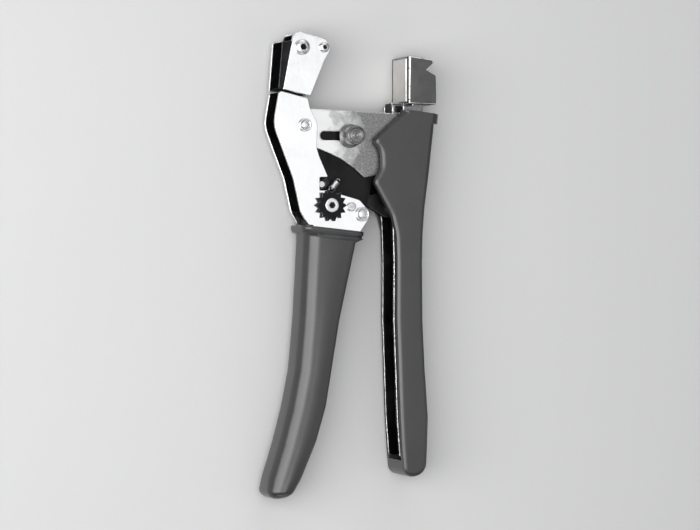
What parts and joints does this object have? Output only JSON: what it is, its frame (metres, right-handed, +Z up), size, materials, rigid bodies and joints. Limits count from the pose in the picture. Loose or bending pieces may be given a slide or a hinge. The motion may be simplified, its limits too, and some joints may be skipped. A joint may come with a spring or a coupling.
{
  "type": "network jack crimping tool",
  "caption": "Parallel-action hand press tool with a fixed arm, a pivoting handle and a sliding jaw that presses and crimps modular network jacks.",
  "frame": {"origin": "under the middle of the tool as it lies flat with its handles closed", "axes": "+X from the fixed arm to the moving handle, +Y from the grip ends to the head, +Z up through the thickness"},
  "size_m": [0.0796, 0.2048, 0.0264],
  "materials": {
    "chrome": "polished nickel-chrome plate",
    "handle_steel": "bright plated sheet",
    "satin_steel": "satin plated sheet",
    "black_oxide": "black oxide, semi-matt",
    "zinc_plate": "bright zinc plate",
    "turned_steel": "turned, concentric tool marks",
    "hardened_steel": "hardened and blackened",
    "grip_plastic": "fine moulded texture",
    "block_black": "blackened, worn bright at the edges",
    "die_steel": "ground",
    "spring_steel": "drawn wire"
  },
  "bodies": {
    "frame": {"front_frame_plate": "chrome", "back_frame_plate": "chrome", "front_head_plate": "chrome", "back_head_plate": "chrome", "frame_spine": "black_oxide", "head_press_block": "black_oxide", "large_head_screw": "zinc_plate", "large_head_nut": "zinc_plate", "small_head_screw": "zinc_plate", "small_head_nut": "zinc_plate", "upper_rivet": "zinc_plate", "lower_rivet": "zinc_plate", "front_core_plate": "black_oxide", "back_core_plate": "black_oxide", "front_rivet_washer": "black_oxide", "back_rivet_washer": "black_oxide", "left_grip": "grip_plastic", "guide_stud": "zinc_plate", "guide_nut": "zinc_plate", "adjuster_screw": "zinc_plate", "lock_screw": "zinc_plate", "pawl_spring": "spring_steel", "return_spring": "spring_steel"},
    "handle": {"handle_cover": "grip_plastic", "handle_channel": "handle_steel", "fulcrum_pin": "zinc_plate", "drive_pin": "zinc_plate", "ratchet_sector": "hardened_steel", "sector_pin_1": "zinc_plate", "sector_pin_2": "zinc_plate", "front_sector_bush_1": "zinc_plate", "back_sector_bush_1": "zinc_plate", "front_sector_bush_2": "zinc_plate", "back_sector_bush_2": "zinc_plate"},
    "jaw": {"front_jaw_plate": "satin_steel", "back_jaw_plate": "satin_steel", "jaw_block": "block_black", "jaw_key": "black_oxide", "crimp_die": "die_steel", "die_screw_1": "zinc_plate", "die_screw_2": "zinc_plate"},
    "pawl": {"pawl": "hardened_steel", "pawl_lever": "hardened_steel", "pawl_pin": "zinc_plate"},
    "knob": {"guide_knob": "turned_steel"},
    "adjuster": {"adjuster_wheel": "black_oxide"}
  },
  "joints": [
    {"name": "handle_pivot", "type": "hinge", "parent": "frame", "child": "handle", "pos_m": [0.02957, 0.06079, 0.011], "axis": [0, 0, 1], "range_deg": [0, 24]},
    {"name": "jaw_slide", "type": "slide", "parent": "frame", "child": "jaw", "axis": [1, 0, 0], "range_m": [0, 0.00646]},
    {"name": "pawl_pivot", "type": "hinge", "parent": "frame", "child": "pawl", "pos_m": [-0.01453, 0.03559, 0.011], "axis": [0, 0, 1], "range_deg": [-12, 15], "stiffness_Nm_per_rad": 0.01},
    {"name": "knob_turn", "type": "hinge", "parent": "frame", "child": "knob", "pos_m": [-0.00163, 0.05709, 0.011], "axis": [0, 0, 1], "continuous": true},
    {"name": "adjuster_turn", "type": "hinge", "parent": "frame", "child": "adjuster", "pos_m": [-0.01143, 0.02629, 0.011], "axis": [0, 0, 1], "continuous": true}
  ],
  "couplings": [
    {"joint": "jaw_slide", "follows": "handle_pivot", "m_per_rad": 0.015398}
  ]
}
